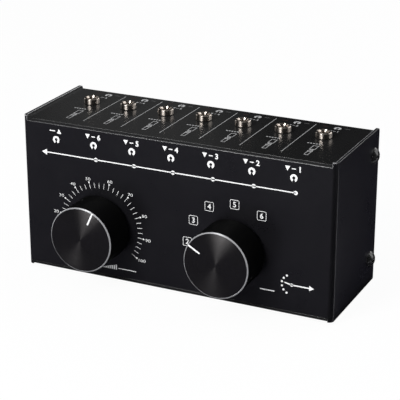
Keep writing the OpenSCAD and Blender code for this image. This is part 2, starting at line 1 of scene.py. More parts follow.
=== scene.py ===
import json
import math
import bpy
import numpy as np
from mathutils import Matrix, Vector


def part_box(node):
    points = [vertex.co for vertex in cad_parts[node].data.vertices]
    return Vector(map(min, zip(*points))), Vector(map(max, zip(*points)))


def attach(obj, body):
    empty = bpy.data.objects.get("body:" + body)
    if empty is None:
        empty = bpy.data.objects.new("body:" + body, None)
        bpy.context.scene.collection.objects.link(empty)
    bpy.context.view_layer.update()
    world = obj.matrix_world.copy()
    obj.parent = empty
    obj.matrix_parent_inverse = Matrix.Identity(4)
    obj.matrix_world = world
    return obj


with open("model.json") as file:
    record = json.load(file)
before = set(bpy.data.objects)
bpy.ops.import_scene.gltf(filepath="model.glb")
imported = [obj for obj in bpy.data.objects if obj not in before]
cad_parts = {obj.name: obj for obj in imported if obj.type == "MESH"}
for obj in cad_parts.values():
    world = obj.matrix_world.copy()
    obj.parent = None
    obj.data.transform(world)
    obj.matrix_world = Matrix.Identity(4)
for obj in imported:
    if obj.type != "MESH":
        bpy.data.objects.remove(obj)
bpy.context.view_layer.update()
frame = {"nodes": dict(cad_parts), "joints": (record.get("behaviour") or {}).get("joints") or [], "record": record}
scene = bpy.context.scene
scene.view_settings.view_transform = "Standard"
mm = 0.001
print("frame:", len(frame["nodes"]), "nodes")

# places on the case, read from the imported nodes
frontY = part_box("front_cover")[0].y
plateX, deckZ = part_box("top_plate")[1].x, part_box("top_plate")[1].z
knobLow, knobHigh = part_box("volume_knob")
faceY, knobR = knobLow.y, (knobHigh.x - knobLow.x) / 2
axes = {j["name"]: j["pos_m"] for j in frame["joints"]}
levelX, levelZ = axes["volume_turn"][0], axes["volume_turn"][2]
sourceX, sourceZ = axes["selector_turn"][0], axes["selector_turn"][2]
socketNames = ["out", "in_6", "in_5", "in_4", "in_3", "in_2", "in_1"]
socketBoxes = [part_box("sleeve_" + n) for n in socketNames]
socketXs = np.array([(lo.x + hi.x) / 2 for lo, hi in socketBoxes])
socketY = (socketBoxes[0][0].y + socketBoxes[0][1].y) / 2
socketPitch = float(socketXs[1] - socketXs[0])


# camera
viewpoint = {"azimuth": 25.56, "pitch": 21.18, "distance": 0.63733, "target": (0.01292, -0.0169, 0.04723),
             "lens": 133.43, "sensor": 36.0, "clip": (0.01, 50.0)}


def placeCamera(v):
    a, p = math.radians(v["azimuth"]), math.radians(v["pitch"])
    ahead = Vector((-math.sin(a) * math.cos(p), math.cos(a) * math.cos(p), -math.sin(p)))
    data = bpy.data.cameras.new("camera")
    data.lens, data.sensor_width = v["lens"], v["sensor"]
    data.clip_start, data.clip_end = v["clip"]
    camera = bpy.data.objects.new("camera", data)
    scene.collection.objects.link(camera)
    camera.location = Vector(v["target"]) - ahead * v["distance"]
    camera.rotation_mode = "QUATERNION"
    camera.rotation_quaternion = ahead.to_track_quat("-Z", "Y")
    scene.camera = camera


placeCamera(viewpoint)
print("camera placed")


# node helpers
def addNode(tree, kind, values=None, **settings):
    made = tree.nodes.new(kind)
    for key, value in settings.items():
        setattr(made, key, value)
    for key, value in (values or {}).items():
        if isinstance(value, bpy.types.NodeSocket):
            tree.links.new(value, made.inputs[key])
        else:
            made.inputs[key].default_value = value
    return made


def placeGroup(tree, group, values):
    return addNode(tree, "ShaderNodeGroup", values, node_tree=group).outputs


def maths(tree, operation, *values, clamp=False):
    made = addNode(tree, "ShaderNodeMath", dict(enumerate(values)), operation=operation, use_clamp=clamp)
    return made.outputs[0]


def vectorMaths(tree, operation, values):
    return addNode(tree, "ShaderNodeVectorMath", values, operation=operation).outputs


def rgba(colour):
    return (*colour, 1.0)


def blendColour(tree, factor, dark, light):
    # dark and light are sockets or plain colours
    ends = [c if isinstance(c, bpy.types.NodeSocket) else rgba(c) for c in (dark, light)]
    return addNode(tree, "ShaderNodeMix", {0: factor, 6: ends[0], 7: ends[1]}, data_type="RGBA").outputs[2]


def blendValue(tree, factor, low, high):
    return addNode(tree, "ShaderNodeMix", {0: factor, 2: low, 3: high}, data_type="FLOAT").outputs[0]


def spread(tree, value, low, high, fromLow=0.0, fromHigh=1.0):
    values = {"Value": value, "From Min": fromLow, "From Max": fromHigh, "To Min": low, "To Max": high}
    return addNode(tree, "ShaderNodeMapRange", values).outputs[0]


def noise(tree, vector, scale, detail, roughness=0.5):
    values = {"Vector": vector, "Scale": scale, "Detail": detail, "Roughness": roughness}
    return addNode(tree, "ShaderNodeTexNoise", values).outputs[0]


def bumpNormal(tree, height, distance, normal=None):
    values = {"Height": height, "Distance": distance, "Strength": 1.0}
    if normal is not None:
        values["Normal"] = normal
    return addNode(tree, "ShaderNodeBump", values).outputs[0]


def separate(tree, vector):
    return addNode(tree, "ShaderNodeSeparateXYZ", {0: vector}).outputs


def newGroup(name, inputs, outputs):
    group = bpy.data.node_groups.new(name, "ShaderNodeTree")
    for label, kind, value in inputs:
        socket = group.interface.new_socket(name=label, in_out="INPUT", socket_type="NodeSocket" + kind)
        if value is not None:
            socket.default_value = value
    for label, kind in outputs:
        group.interface.new_socket(name=label, in_out="OUTPUT", socket_type="NodeSocket" + kind)
    return group, group.nodes.new("NodeGroupInput").outputs, group.nodes.new("NodeGroupOutput").inputs


# grain of a coat: a fine noise for the bump, mixed with a broad one for the shade
grainLook = {"fine": (3.0, 0.55), "broad": (4.0, 0.6), "broadScale": 0.035, "broadShare": 0.65}


def makeCoatGrain(v):
    g, given, out = newGroup("coatGrain", [("Vector", "Vector", None), ("Scale", "Float", 1800.0)],
                             [("Height", "Float"), ("Shade", "Float")])
    fine = noise(g, given["Vector"], given["Scale"], *v["fine"])
    broadScale = maths(g, "MULTIPLY", given["Scale"], v["broadScale"])
    broad = noise(g, given["Vector"], broadScale, *v["broad"])
    g.links.new(fine, out["Height"])
    g.links.new(blendValue(g, v["broadShare"], fine, broad), out["Shade"])
    return g


# hair scratches: thin threads where a stretched, turned noise crosses its middle value, in patches
scratchLook = {"lays": ((0.6, 9.0), (2.1, 6.0)), "skew": (1.0, 0.7, 1.3), "middle": 0.5,
               "patch": 90.0, "patchSpan": (0.5, 0.68)}


def makeHairScratch(v):
    g, given, out = newGroup("hairScratch", [("Vector", "Vector", None), ("Scale", "Float", 260.0),
                                             ("Width", "Float", 0.02)], [("Mask", "Float")])
    masks = []
    for turn, stretch in v["lays"]:
        values = {"Vector": given["Vector"], "Rotation": [turn * s for s in v["skew"]],
                  "Scale": (1.0, stretch, stretch)}
        laid = addNode(g, "ShaderNodeMapping", values).outputs[0]
        thread = noise(g, laid, given["Scale"], 1.0)
        off = maths(g, "ABSOLUTE", maths(g, "SUBTRACT", thread, v["middle"]))
        masks.append(maths(g, "LESS_THAN", off, given["Width"]))
    seen = spread(g, noise(g, given["Vector"], v["patch"], 2.0), 0.0, 1.0, *v["patchSpan"])
    both = maths(g, "MAXIMUM", *masks)
    g.links.new(maths(g, "MULTIPLY", both, seen, clamp=True), out["Mask"])
    return g


# lathe lines: rings or bands at an even pitch along one distance, their depth broken by noise
lineLook = {"wave": 0.25, "streakRate": 1.7, "streak": (4.0, 0.75), "breaks": 300.0}


def makeTurnedLines(v):
    g, given, out = newGroup("turnedLines", [("Distance", "Float", 0.0), ("Pitch", "Float", 0.0002),
                                             ("Vector", "Vector", None)],
                             [("Height", "Float"), ("Streak", "Float")])
    along = maths(g, "DIVIDE", given["Distance"], given["Pitch"])
    wave = maths(g, "SINE", maths(g, "MULTIPLY", along, 2 * math.pi))
    detail, roughness = v["streak"]
    values = {"W": maths(g, "MULTIPLY", along, v["streakRate"]), "Detail": detail, "Roughness": roughness}
    streak = addNode(g, "ShaderNodeTexNoise", values, noise_dimensions="1D").outputs[0]
    broken = noise(g, given["Vector"], v["breaks"], 2.0)
    height = maths(g, "MULTIPLY_ADD", wave, v["wave"], streak)
    g.links.new(maths(g, "MULTIPLY", height, broken), out["Height"])
    g.links.new(streak, out["Streak"])
    return g


# edge mask and rounded normal: the further the rounded normal leans from the true one, the nearer the edge; coats
# use the mask for a painted edge highlight, partly edge wear
roundingLook = {"samples": 6, "lean": (0.995, 0.8)}


def makeEdgeRounding(v):
    g, given, out = newGroup("edgeRounding", [("Radius", "Float", 0.0003)],
                             [("Mask", "Float"), ("Normal", "Vector")])
    rounded = addNode(g, "ShaderNodeBevel", {"Radius": given["Radius"]}, samples=v["samples"]).outputs[0]
    plain = addNode(g, "ShaderNodeNewGeometry").outputs["Normal"]
    lean = vectorMaths(g, "DOT_PRODUCT", {0: rounded, 1: plain})["Value"]
    g.links.new(spread(g, lean, 0.0, 1.0, *v["lean"]), out["Mask"])
    g.links.new(rounded, out["Normal"])
    return g


# dust: small soft specks in a veil, thicker on faces that look up
dustLook = {"specks": 420.0, "speckSpan": (0.02, 0.16), "veil": 60.0, "veilSpan": (0.45, 0.7),
            "least": 0.15, "facingSpan": (0.2, 0.9)}


def makeDustFilm(v):
    g, given, out = newGroup("dustFilm", [("Vector", "Vector", None), ("Amount", "Float", 0.2)],
                             [("Mask", "Float")])
    specks = addNode(g, "ShaderNodeTexVoronoi", {"Vector": given["Vector"], "Scale": v["specks"]})
    dots = spread(g, specks.outputs["Distance"], 1.0, 0.0, *v["speckSpan"])
    veil = spread(g, noise(g, given["Vector"], v["veil"], 5.0), 0.0, 1.0, *v["veilSpan"])
    upward = separate(g, addNode(g, "ShaderNodeNewGeometry").outputs["Normal"])["Z"]
    facing = spread(g, upward, v["least"], 1.0, *v["facingSpan"])
    soft = maths(g, "MULTIPLY", maths(g, "MULTIPLY", dots, veil), facing)
    g.links.new(maths(g, "MULTIPLY", soft, given["Amount"], clamp=True), out["Mask"])
    return g


coatGrain, hairScratch = makeCoatGrain(grainLook), makeHairScratch(scratchLook)
turnedLines, edgeRounding, dustFilm = makeTurnedLines(lineLook), makeEdgeRounding(roundingLook), makeDustFilm(dustLook)
print("node groups made")


# material helpers
shadeSpan = (0.3, 0.7)  # where most of a noise's values lie


def newMaterial(name, sockets):
    material = bpy.data.materials.new(name)
    material.use_nodes = True
    tree = material.node_tree
    shader = tree.nodes["Principled BSDF"]
    for key, value in sockets.items():
        shader.inputs[key].default_value = value
    return material, tree, shader


def objectPlace(tree):
    return addNode(tree, "ShaderNodeTexCoord").outputs["Object"]


def feed(tree, shader, sources):
    for key, source in sources.items():
        tree.links.new(source, shader.inputs[key])


# painted or moulded surface: grain in the bump, shade in the colour and gloss, a painted edge highlight that is
# partly edge wear, a little dust
coatLook = {"highlightAndWear": 0.5, "highlightLowest": 0.1, "lipSpan": (0.5 * mm, 0.9 * mm), "dust": (0.55, 0.54, 0.52)}


def edgeHighlightAndWear(tree, place, mask, v):
    # painted edge highlight, partly edge wear: stronger towards the top, where the light falls, and weaker away
    # from the case's outer faces
    # and none at the ends
    highlightAndWear = maths(tree, "MULTIPLY", mask, v.get("highlightAndWear", coatLook["highlightAndWear"]))
    apart = separate(tree, place)
    across = maths(tree, "ABSOLUTE", apart["X"])
    if v.get("highlightRiseFrom"):
        rising = spread(tree, apart["Z"], coatLook["highlightLowest"], 1.0, v["highlightRiseFrom"], deckZ)
        highlightAndWear = maths(tree, "MULTIPLY", highlightAndWear, rising)
    if v.get("highlightElsewhere"):
        inward = maths(tree, "ABSOLUTE", maths(tree, "SUBTRACT", across, plateX))
        outermost = spread(tree, inward, 1.0, v["highlightElsewhere"], *coatLook["lipSpan"])
        highlightAndWear = maths(tree, "MULTIPLY", highlightAndWear, outermost)
    if v.get("highlightFadeAcross"):
        highlightAndWear = maths(tree, "MULTIPLY", highlightAndWear, spread(tree, across, 1.0, 0.0, *v["highlightFadeAcross"]))
    return highlightAndWear


def coatMaterial(name, v):
    material, tree, shader = newMaterial(name, v.get("sockets", {}))
    place = objectPlace(tree)
    grain = placeGroup(tree, coatGrain, {"Vector": place, "Scale": v["grain"]})
    colour = blendColour(tree, grain["Shade"], v["dark"], v["light"])
    normal = None
    if v.get("edge"):
        edge = placeGroup(tree, edgeRounding, {"Radius": v["edge"]})
        highlightAndWear = edgeHighlightAndWear(tree, place, edge["Mask"], v)
        # edges lightened towards the given edge colour: a painted edge highlight, partly edge wear
        colour = blendColour(tree, highlightAndWear, colour, v.get("highlightAndWearColour", v["light"]))
        normal = edge["Normal"]
    if v.get("dust"):
        dust = placeGroup(tree, dustFilm, {"Vector": place, "Amount": v["dust"]})
        colour = blendColour(tree, dust["Mask"], colour, coatLook["dust"])
    feed(tree, shader, {"Base Color": colour,
                        "Roughness": spread(tree, grain["Shade"], *v["gloss"], *shadeSpan),
                        "Normal": bumpNormal(tree, grain["Height"], v["bump"], normal)})
    return material


# plated or turned metal: lathe lines along one axis, hair scratches in the gloss
# spun metal also has its tangent round the nearest socket, and a lip that leans into the socket's mouth
metalLook = {"scratchGloss": 0.12}


def metalMaterial(name, v):
    material, tree, shader = newMaterial(name, {"Metallic": 1.0, **v.get("sockets", {})})
    place = objectPlace(tree)
    apart = separate(tree, place)
    values = {"Distance": apart[v["along"]], "Pitch": v["pitch"], "Vector": place}
    lines = placeGroup(tree, turnedLines, values)
    scratch = placeGroup(tree, hairScratch, {"Vector": place, "Scale": v["scratch"]})["Mask"]
    grain = placeGroup(tree, coatGrain, {"Vector": place, "Scale": v["grain"]})
    gloss = spread(tree, grain["Shade"], *v["gloss"], *shadeSpan)
    height = maths(tree, "MULTIPLY", lines["Height"], v["bump"])
    if v.get("spun"):
        half = v["spun"] / 2
        aside = maths(tree, "WRAP", apart["X"], half, -half)
        ahead = maths(tree, "SUBTRACT", socketY, apart["Y"])
        tangent = addNode(tree, "ShaderNodeCombineXYZ", {"X": ahead, "Y": aside}).outputs[0]
        radius = vectorMaths(tree, "LENGTH", {0: tangent})["Value"]
        lip = maths(tree, "MULTIPLY", maths(tree, "MINIMUM", radius, v["lip"]), v["lean"])
        height = maths(tree, "ADD", height, lip)
        feed(tree, shader, {"Tangent": tangent})
    normal = placeGroup(tree, edgeRounding, {"Radius": v["edge"]})["Normal"] if v.get("edge") else None
    feed(tree, shader, {"Base Color": blendColour(tree, grain["Shade"], v["dark"], v["light"]),
                        "Roughness": maths(tree, "MULTIPLY_ADD", scratch, metalLook["scratchGloss"], gloss),
                        "Normal": bumpNormal(tree, height, 1.0, normal)})
    return material


# knob: dull black side, a face of turned metal spun in rings and slightly domed, a front edge cut bright
# the masks come from the distance to the axis and the depth behind the face
knobFinish = {"rim": 0.5 * mm, "slackBehind": 0.02 * mm, "slackBeside": 0.03 * mm,
              "side": (0.0024, 0.0024, 0.0025), "sideLift": 2.0, "sideGloss": (0.34, 0.46), "grain": 2600.0,
              "face": (0.093, 0.089, 0.089), "faceShade": (0.75, 1.3), "faceGloss": (0.23, 0.32),
              "faceMetal": 0.97, "cut": (0.44, 0.44, 0.45), "cutGloss": 0.32, "cutMetal": 0.4,
              "pitch": 0.22 * mm, "ridge": 0.004 * mm, "dome": 14.0, "scratch": 500.0, "scratchGloss": 0.08,
              "sockets": {"Specular IOR Level": 0.012, "Anisotropic": 0.85, "Anisotropic Rotation": 0.25}}


def knobMaterial(name, centre, v):
    material, tree, shader = newMaterial(name, v["sockets"])
    place = objectPlace(tree)
    values = {"Vector": place, "Location": (-centre[0], -faceY, -centre[1])}
    apart = separate(tree, addNode(tree, "ShaderNodeMapping", values).outputs[0])
    flat = addNode(tree, "ShaderNodeCombineXYZ", {"X": apart["X"], "Z": apart["Z"]}).outputs[0]
    radius = vectorMaths(tree, "LENGTH", {0: flat})["Value"]
    onFace = maths(tree, "LESS_THAN", apart["Y"], v["slackBehind"])
    nearFront = maths(tree, "LESS_THAN", apart["Y"], v["rim"] + v["slackBehind"])
    pastFace = maths(tree, "GREATER_THAN", radius, knobR - v["rim"] - v["slackBeside"])
    onCut = maths(tree, "MULTIPLY", nearFront, pastFace)
    lines = placeGroup(tree, turnedLines, {"Distance": radius, "Pitch": v["pitch"], "Vector": place})
    grain = placeGroup(tree, coatGrain, {"Vector": place, "Scale": v["grain"]})
    scratch = placeGroup(tree, hairScratch, {"Vector": place, "Scale": v["scratch"]})["Mask"]
    ringShade = spread(tree, lines["Streak"], *v["faceShade"], *shadeSpan)
    face = vectorMaths(tree, "SCALE", {0: v["face"], "Scale": ringShade})[0]
    side = blendColour(tree, grain["Shade"], v["side"], [c * v["sideLift"] for c in v["side"]])
    colour = blendColour(tree, onCut, blendColour(tree, onFace, side, face), v["cut"])
    gloss = spread(tree, grain["Shade"], *v["sideGloss"], *shadeSpan)
    gloss = blendValue(tree, onFace, gloss, spread(tree, lines["Streak"], *v["faceGloss"]))
    gloss = blendValue(tree, onCut, gloss, v["cutGloss"])
    metals = [maths(tree, "MULTIPLY", onFace, v["faceMetal"]), maths(tree, "MULTIPLY", onCut, v["cutMetal"])]
    ridges = maths(tree, "MULTIPLY", lines["Height"], v["ridge"])
    crown = maths(tree, "MULTIPLY", maths(tree, "MULTIPLY", radius, radius), -0.5 * v["dome"])
    height = maths(tree, "MULTIPLY", maths(tree, "ADD", ridges, crown), onFace)
    tangent = addNode(tree, "ShaderNodeTangent", direction_type="RADIAL", axis="Y").outputs[0]
    feed(tree, shader, {"Base Color": colour,
                        "Roughness": maths(tree, "MULTIPLY_ADD", scratch, v["scratchGloss"], gloss),
                        "Metallic": maths(tree, "MAXIMUM", *metals),
                        "Normal": bumpNormal(tree, height, 1.0),
                        "Tangent": tangent})
    return material


# one finish for each slot of the record
finishes = {
    # the near-white edge colour of the case paint is a painted edge highlight, partly edge wear
    "case_paint": coatMaterial("caseCoat", {
        "dark": (0.0026, 0.0024, 0.0036), "light": (0.0045, 0.0043, 0.006), "grain": 1700.0,
        "gloss": (0.26, 0.34), "bump": 0.008 * mm, "edge": 0.5 * mm, "highlightAndWear": 1.0, "highlightAndWearColour": (0.95, 0.95, 0.96),
        "highlightRiseFrom": 20.0 * mm, "highlightElsewhere": 0.18, "dust": 0.02, "sockets": {"Specular IOR Level": 0.9}}),
    # the grey edge colour of the top plate is a painted edge highlight, faded at the ends
    "chassis_paint": coatMaterial("deckCoat", {
        "dark": (0.008, 0.008, 0.0082), "light": (0.0155, 0.0155, 0.0158), "grain": 1300.0,
        "gloss": (0.24, 0.31), "bump": 0.0028 * mm, "edge": 0.22 * mm, "highlightAndWear": 0.7,
        "highlightAndWearColour": (0.27, 0.27, 0.265), "highlightRiseFrom": 20.0 * mm, "highlightFadeAcross": (66.0 * mm, 71.5 * mm),
        "dust": 0.012, "sockets": {"Specular IOR Level": 0.35}}),
    "screw_black": coatMaterial("screwOxide", {
        "dark": (0.055, 0.055, 0.055), "light": (0.1, 0.1, 0.1), "grain": 3200.0, "gloss": (0.2, 0.27),
        "bump": 0.006 * mm, "edge": 0.2 * mm, "highlightAndWear": 0.5, "highlightAndWearColour": (0.3, 0.3, 0.3),
        "sockets": {"Metallic": 0.85}}),
    "foot_rubber": coatMaterial("footRubber", {
        "dark": (0.012, 0.012, 0.012), "light": (0.03, 0.03, 0.03), "grain": 2400.0, "gloss": (0.75, 0.9),
        "bump": 0.05 * mm, "dust": 0.4}),
    "socket_plastic": coatMaterial("socketMoulding", {
        "dark": (0.008, 0.008, 0.008), "light": (0.022, 0.022, 0.022), "grain": 2000.0, "gloss": (0.4, 0.55),
        "bump": 0.01 * mm, "edge": 0.2 * mm}),
    "board": coatMaterial("boardMask", {
        "dark": (0.008, 0.05, 0.02), "light": (0.02, 0.1, 0.04), "grain": 900.0, "gloss": (0.3, 0.45),
        "bump": 0.01 * mm, "edge": 0.15 * mm, "highlightAndWear": 0.7, "highlightAndWearColour": (0.35, 0.3, 0.16)}),
    "red_wire": coatMaterial("redSleeve", {
        "dark": (0.3, 0.012, 0.01), "light": (0.45, 0.025, 0.02), "grain": 1500.0, "gloss": (0.28, 0.4),
        "bump": 0.01 * mm}),
    "grey_wire": coatMaterial("greySleeve", {
        "dark": (0.16, 0.17, 0.18), "light": (0.27, 0.28, 0.29), "grain": 1500.0, "gloss": (0.28, 0.4),
        "bump": 0.01 * mm}),
    "wafer": coatMaterial("phenolicWafer", {
        "dark": (0.13, 0.06, 0.022), "light": (0.26, 0.13, 0.055), "grain": 1600.0, "gloss": (0.35, 0.55),
        "bump": 0.01 * mm, "edge": 0.15 * mm}),
    "hub_plastic": coatMaterial("hubMoulding", {
        "dark": (0.55, 0.53, 0.46), "light": (0.68, 0.66, 0.58), "grain": 1800.0, "gloss": (0.35, 0.5),
        "bump": 0.01 * mm, "edge": 0.2 * mm}),
    "nickel": metalMaterial("nickelPlate", {
        "dark": (0.6, 0.53, 0.47), "light": (0.72, 0.65, 0.59), "grain": 5000.0, "gloss": (0.26, 0.3),
        "scratch": 700.0, "along": "Z", "pitch": 0.16 * mm, "bump": 0.0004 * mm, "edge": 0.12 * mm,
        "spun": socketPitch, "lip": 3.35 * mm, "lean": 0.4,
        "sockets": {"Anisotropic": 0.85, "Anisotropic Rotation": 0.25}}),
    "contact_brass": metalMaterial("contactBrass", {
        "dark": (0.52, 0.36, 0.13), "light": (0.72, 0.53, 0.24), "grain": 1500.0, "gloss": (0.2, 0.32),
        "scratch": 600.0, "along": "Z", "pitch": 0.3 * mm, "bump": 0.003 * mm}),
    "steel": metalMaterial("zincSteel", {
        "dark": (0.42, 0.42, 0.43), "light": (0.6, 0.6, 0.6), "grain": 1200.0, "gloss": (0.25, 0.4),
        "scratch": 500.0, "along": "Y", "pitch": 0.25 * mm, "bump": 0.003 * mm, "edge": 0.15 * mm}),
    "shaft_metal": metalMaterial("turnedShaft", {
        "dark": (0.6, 0.6, 0.6), "light": (0.75, 0.75, 0.75), "grain": 1200.0, "gloss": (0.2, 0.3),
        "scratch": 500.0, "along": "Y", "pitch": 0.2 * mm, "bump": 0.003 * mm, "edge": 0.15 * mm}),
}

# three nodes with a finish of their own
nodeFinishes = {
    # the rear chassis has the top plate's black paint, made darker: painted shade on its rear and bottom plates,
    # with a dim painted edge highlight
    "rear_chassis": coatMaterial("chassisShadedCoat", {
        "dark": (0.0055, 0.0055, 0.0058), "light": (0.0105, 0.0105, 0.0108), "grain": 1500.0,
        "gloss": (0.26, 0.34), "bump": 0.006 * mm, "edge": 0.22 * mm, "highlightAndWear": 0.25, "highlightAndWearColour": (0.1, 0.1, 0.1),
        "dust": 0.02}),
    "volume_knob": knobMaterial("levelKnobMetal", (levelX, levelZ), knobFinish),
    "selector_knob": knobMaterial("sourceKnobMetal", (sourceX, sourceZ), knobFinish),
}
for part in frame["record"]["subparts"]:
    mesh = frame["nodes"][part["node"]].data
    mesh.materials.clear()
    mesh.materials.append(nodeFinishes.get(part["node"]) or finishes[part["material_slot"]])
print("finishes on", len(frame["nodes"]), "nodes")


# screen ink: a thin film, a little uneven
inkLook = {"gloss": (0.45, 0.62), "bump": 0.006 * mm, "sockets": {"Specular IOR Level": 0.35}}


def inkMaterial(name, dark, light, grain=2200.0):
    return coatMaterial(name, {**inkLook, "dark": dark, "light": light, "grain": grain})


whiteInk = inkMaterial("whiteInk", (0.74, 0.74, 0.74), (0.9, 0.9, 0.89))
deckInk = inkMaterial("deckInk", (0.4, 0.4, 0.4), (0.54, 0.54, 0.535))
faintInk = inkMaterial("faintInk", (0.06, 0.06, 0.06), (0.11, 0.11, 0.11))
redInk = inkMaterial("redInk", (0.03, 0.013, 0.012), (0.055, 0.022, 0.02))
pointerPaint = inkMaterial("pointerPaint", (0.8, 0.8, 0.8), (0.9, 0.9, 0.9), 2600.0)


# flat marks in millimetres, each a pair of points (n, 2) and faces, anticlockwise
def bars(starts, ends, width):
    # quad of an even width along each straight from start to end
    starts, ends = np.atleast_2d(starts).astype(float), np.atleast_2d(ends).astype(float)
    along = ends - starts
    side = np.stack([-along[:, 1], along[:, 0]], 1) / np.linalg.norm(along, axis=1)[:, None] * width / 2
    points = np.stack([starts - side, ends - side, ends + side, starts + side], 1).reshape(-1, 2)
    return points, np.arange(len(points)).reshape(-1, 4).tolist()


def discs(centres, radius, sides=20):
    # circle of points round each centre
    turn = np.linspace(0, 2 * np.pi, sides, endpoint=False)
    ring = np.stack([np.cos(turn), np.sin(turn)], 1) * radius
    return outlines(centres, ring)


def outlines(centres, outline):
    # the same closed outline set down at each centre
    points = (np.atleast_2d(centres)[:, None, :] + np.asarray(outline, float)[None]).reshape(-1, 2)
    return points, np.arange(len(points)).reshape(-1, len(outline)).tolist()


def bands(centres, inner, outer, closed):
    # strip between an inner and an outer line of equal length, both anticlockwise, at each centre
    centres, count = np.atleast_2d(centres), len(inner)
    pair = np.concatenate([outer, inner])
    points = (centres[:, None, :] + pair[None]).reshape(-1, 2)
    here = np.arange(count if closed else count - 1)
    there = (here + 1) % count
    quads = np.stack([here, there, there + count, here + count], 1)
    faces = (quads[None] + (np.arange(len(centres)) * 2 * count)[:, None, None]).reshape(-1, 4)
    return points, faces.tolist()


def arcLine(radius, fromDeg, toDeg, steps):
    # points on a circle between two angles, anticlockwise from +X
    turn = np.radians(np.linspace(fromDeg, toDeg, steps))
    return np.stack([np.cos(turn), np.sin(turn)], 1) * radius


def roundedSquare(half, corner, steps=5):
    # four quarter circles at the corners, joined by the straights between them
    turns = [arcLine(corner, 90 * k, 90 * k + 90, steps) for k in range(4)]
    middles = np.array([(1, 1), (-1, 1), (-1, -1), (1, -1)]) * (half - corner)
    return np.concatenate([t + m for t, m in zip(turns, middles)])


def figures(string, height, centre, bold=0.0, wide=1.0):
    # filled numerals of one height, drawn out in width, their box centred on a point
    curve = bpy.data.curves.new("figures", "FONT")
    curve.body, curve.size, curve.resolution_u, curve.offset = string, 1.0, 3, bold
    curve.fill_mode = "FRONT"
    carrier = bpy.data.objects.new("figures", curve)
    mesh = carrier.to_mesh()
    points = np.zeros(len(mesh.vertices) * 3)
    mesh.vertices.foreach_get("co", points)
    points = points.reshape(-1, 3)[:, :2]
    faces = [list(p.vertices) for p in mesh.polygons]
    carrier.to_mesh_clear()
    bpy.data.objects.remove(carrier)
    bpy.data.curves.remove(curve)
    low, high = points.min(0), points.max(0)
    grow = height / (high[1] - low[1]) * np.array([wide, 1.0])
    return (points - (low + high) / 2) * grow + np.asarray(centre, float), faces


def onDial(degrees, radius):
    # dial angle clockwise from upright
    turn = np.radians(np.atleast_1d(degrees).astype(float))
    return np.stack([np.sin(turn), np.cos(turn)], 1) * np.atleast_1d(radius)[:, None]


def inRow(xs, level):
    # points at these x, all at one level
    return np.stack([xs, np.full(len(xs), level)], 1)


ink = {"proud": 0.03, "sunk": 0.01}  # film height over the sheet and depth in it, mm


def addPiece(name, points, faces, body, material):
    mesh = bpy.data.meshes.new(name)
    mesh.from_pydata(points.tolist(), [], faces)
    mesh.validate()
    mesh.update()
    mesh.materials.append(material)
    piece = bpy.data.objects.new(name, mesh)
    scene.collection.objects.link(piece)
    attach(piece, body)
    return piece


def printMarks(name, marks, onFront, material):
    # joins the marks and lays them on the front panel (x, z) or on the top plate (x, y)
    counts = np.cumsum([0] + [len(p) for p, _ in marks])
    flat = np.concatenate([p for p, _ in marks]) * mm
    faces = [[i + c for i in face] for (_, fs), c in zip(marks, counts) for face in fs]
    level = np.full(len(flat), frontY - ink["proud"] * mm if onFront else deckZ + ink["proud"] * mm)
    order = [flat[:, 0], level, flat[:, 1]] if onFront else [flat[:, 0], flat[:, 1], level]
    piece = addPiece(name, np.stack(order, 1), faces, "case", material)
    film = piece.modifiers.new("film", "SOLIDIFY")
    film.thickness, film.offset = (ink["proud"] + ink["sunk"]) * mm, -1.0


# level scale: ticks all round, a dot and a number at each ten
levelScale = {"centre": (levelX / mm + 0.5, levelZ / mm - 0.3), "middle": -16.0, "tensEachSide": 5,
              "leftTen": 21.6, "rightTen": 28.0, "leftParts": 3, "rightParts": 4,
              "inner": 18.4, "outer": 20.8, "line": 0.19, "dotAt": 21.3, "dot": 0.4, "dotSides": 14,
              "figureAt": 22.6, "figureOut": 1.0, "figure": 1.35, "wide": 1.35, "bold": -0.008,
              "lastShift": (0.9, 0.35)}


def makeLevelScale(v):
    centre, each = np.array(v["centre"]), v["tensEachSide"]
    leftSmall = v["middle"] - v["leftTen"] / v["leftParts"] * np.arange(each * v["leftParts"], 0, -1)
    rightSmall = v["middle"] + v["rightTen"] / v["rightParts"] * np.arange(each * v["rightParts"] + 1)
    small = np.concatenate([leftSmall, rightSmall])
    tens = np.concatenate([leftSmall[::v["leftParts"]], rightSmall[::v["rightParts"]]])
    ticks = bars(centre + onDial(small, v["inner"]), centre + onDial(small, v["outer"]), v["line"])
    dots = discs(centre + onDial(tens, v["dotAt"]), v["dot"], v["dotSides"])
    printMarks("level_scale", [ticks, dots], True, whiteInk)
    reach = v["figureAt"] + v["figureOut"] * np.abs(np.sin(np.radians(tens)))
    spots = centre + onDial(tens, reach)
    spots[-1] += v["lastShift"]  # three numerals stand further out than two
    marks = [figures(str(10 * k), v["figure"], s, v["bold"], v["wide"]) for k, s in enumerate(spots)]
    printMarks("level_figures", marks, True, whiteInk)


makeLevelScale(levelScale)


# source marks: a rounded frame with its number at each step
sourceMarks = {"centre": (sourceX / mm, sourceZ / mm), "turns": (-119, -89, -60, -31.5, 1.4, 35.5),
               "radii": (21.9, 21.9, 21.9, 21.8, 21.45, 22.6), "half": 2.15, "corner": 0.65, "line": 0.21,
               "figure": 2.5, "bold": 0.012}


def makeSourceMarks(v):
    spots = np.array(v["centre"]) + onDial(v["turns"], v["radii"])
    outer = roundedSquare(v["half"], v["corner"])
    inner = roundedSquare(v["half"] - v["line"], v["corner"] - v["line"])
    printMarks("source_frames", [bands(spots, inner, outer, True)], True, whiteInk)
    marks = [figures(str(k + 1), v["figure"], s, v["bold"]) for k, s in enumerate(spots)]
    printMarks("source_figures", marks, True, whiteInk)


makeSourceMarks(sourceMarks)


